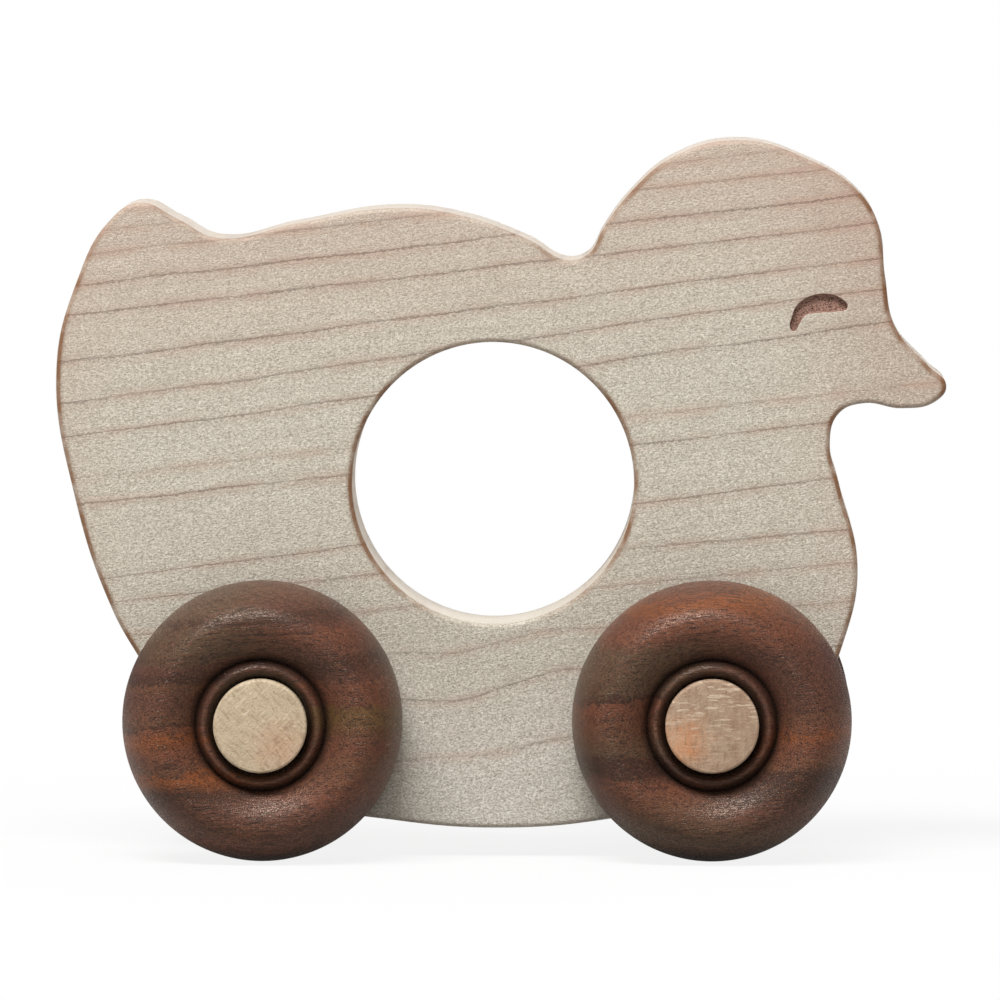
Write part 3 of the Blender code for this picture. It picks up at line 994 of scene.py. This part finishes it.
class DUCK_OT_stage(bpy.types.Operator):
    """Set up the pale floor, the soft light and the camera"""

    bl_idname = "duck.stage"
    bl_label = "Studio"

    def add_lamp(self, name, aim, watts, place, width, height, gloss):
        """Add a soft flat lamp that faces the aim; without gloss no surface mirrors it."""
        lamp = bpy.data.lights.new(name, "AREA")
        lamp.shape, lamp.size, lamp.size_y, lamp.energy = "RECTANGLE", width, height, watts
        obj = bpy.data.objects.new(name, lamp)
        obj.location = place
        obj.visible_glossy = gloss
        obj.rotation_euler = (aim - Vector(place)).to_track_quat("-Z", "Y").to_euler()
        bpy.context.scene.collection.objects.link(obj)

    def seen(self, tree):
        """Return 1 for what the camera sees, also through glass, and less for a gloss."""
        path = put(tree, "LightPath").outputs
        gloss = times(tree, path["Is Glossy Ray"], GLOSS_SHARE)
        plain = calc(tree, "MAXIMUM", path["Is Camera Ray"], gloss)
        return calc(tree, "MAXIMUM", plain, path["Is Transmission Ray"])

    def add_floor(self, stage):
        """Add a wide flat floor that turns to plain white away from the toy."""
        mesh = bpy.data.meshes.new("studio_floor")
        corners = np.array(((-1, -1, 0), (1, -1, 0), (1, 1, 0), (-1, 1, 0))) * FLOOR_REACH
        mesh.from_pydata(corners.tolist(), [], [(0, 1, 2, 3)])
        material = bpy.data.materials.new("studio_floor")
        material.use_nodes = True
        tree = material.node_tree
        tree.nodes.remove(tree.nodes["Principled BSDF"])
        place = put(tree, "TexCoord").outputs["Object"]
        fade = ease(tree, vector_calc(tree, "LENGTH", place), *FLOOR_FADE)
        matt = put(tree, "BsdfDiffuse", {"Color": stage.floor}).outputs[0]
        faint = put(tree, "BsdfDiffuse", {"Color": (FLOOR_GREY,) * 3}).outputs[0]
        glow = put(tree, "Emission", {"Strength": FLOOR_GLOW}).outputs[0]
        near = put(tree, "AddShader", {0: faint, 1: glow}).outputs[0]
        white = put(tree, "Emission", {"Strength": 1.0}).outputs[0]
        shown = put(tree, "MixShader", {0: fade, 1: near, 2: white}).outputs[0]
        mixed = put(tree, "MixShader", {0: self.seen(tree), 1: matt, 2: shown}).outputs[0]
        tree.links.new(mixed, tree.nodes["Material Output"].inputs["Surface"])
        mesh.materials.append(material)
        floor = bpy.data.objects.new("studio_floor", mesh)
        bpy.context.scene.collection.objects.link(floor)

    def add_room(self, scene, stage):
        """Add the even light from all round, which the camera sees as white."""
        world = bpy.data.worlds.new("studio")
        world.use_nodes = True
        tree = world.node_tree
        strength = put(tree, "MapRange", {0: self.seen(tree), 3: stage.room_light, 4: 1.0})
        tree.links.new(strength.outputs[0], tree.nodes["Background"].inputs["Strength"])
        tree.nodes["Background"].inputs["Color"].default_value = (1.0, 1.0, 1.0, 1.0)
        scene.world = world

    def add_camera(self, scene, stage, aim):
        """Add the camera, at its distance from the aim, turned and raised by its angles."""
        camera = bpy.data.objects.new("camera", bpy.data.cameras.new("camera"))
        camera.data.lens = stage.focal_length
        camera.data.clip_end = FAR_LIMIT
        turn, level = stage.azimuth, cos(stage.elevation)
        back = Vector((sin(turn) * level, -cos(turn) * level, sin(stage.elevation)))
        camera.location = aim + stage.distance * back
        camera.rotation_euler = (-back).to_track_quat("-Z", "Y").to_euler()
        scene.collection.objects.link(camera)
        scene.camera = camera

    def execute(self, context):
        scene, stage = context.scene, context.scene.duck_stage
        aim = Vector((-stage.aim_back, 0.0, stage.aim_height))
        self.add_floor(stage)
        for side, lamp in LAMPS.items():
            self.add_lamp(side + "_light", aim, getattr(stage, side + "_power"), *lamp)
        self.add_room(scene, stage)
        self.add_camera(scene, stage, aim)
        scene.view_settings.view_transform = "Standard"
        return {"FINISHED"}


class DUCK_PT_toy(bpy.types.Panel):
    """The toy's pieces with their sizes and colours"""

    bl_idname = "DUCK_PT_toy"
    bl_label = "Wheeled Wooden Duck"
    bl_space_type = "VIEW_3D"
    bl_region_type = "UI"
    bl_category = "Duck"

    def draw(self, context):
        for step, _, operator in STEPS:
            box = self.layout.box()
            box.operator(operator.bl_idname)
            settings = getattr(context.scene, step)
            for name in settings.__annotations__:
                box.prop(settings, name)


# Each step's name on the scene, its settings and its operator.
STEPS = (
    ("duck_board", DuckBoardSettings, DUCK_OT_board),
    ("duck_wheels", DuckWheelSettings, DUCK_OT_wheels),
    ("duck_axles", DuckAxleSettings, DUCK_OT_axles),
    ("duck_stage", DuckStageSettings, DUCK_OT_stage),
)
CLASSES = (*(cls for _, *classes in STEPS for cls in classes), DUCK_PT_toy)


def register():
    """Register the classes and give the scene its settings."""
    for cls in CLASSES:
        bpy.utils.register_class(cls)
    for name, settings, _ in STEPS:
        setattr(bpy.types.Scene, name, PointerProperty(type=settings))


def unregister():
    """Take the settings and the classes away again."""
    for name, _, _ in STEPS:
        delattr(bpy.types.Scene, name)
    for cls in reversed(CLASSES):
        bpy.utils.unregister_class(cls)


def main():
    """Build the toy and its studio."""
    register()
    bpy.ops.duck.board()
    bpy.ops.duck.wheels()
    bpy.ops.duck.axles()
    bpy.ops.duck.stage()


if __name__ == "__main__":
    main()
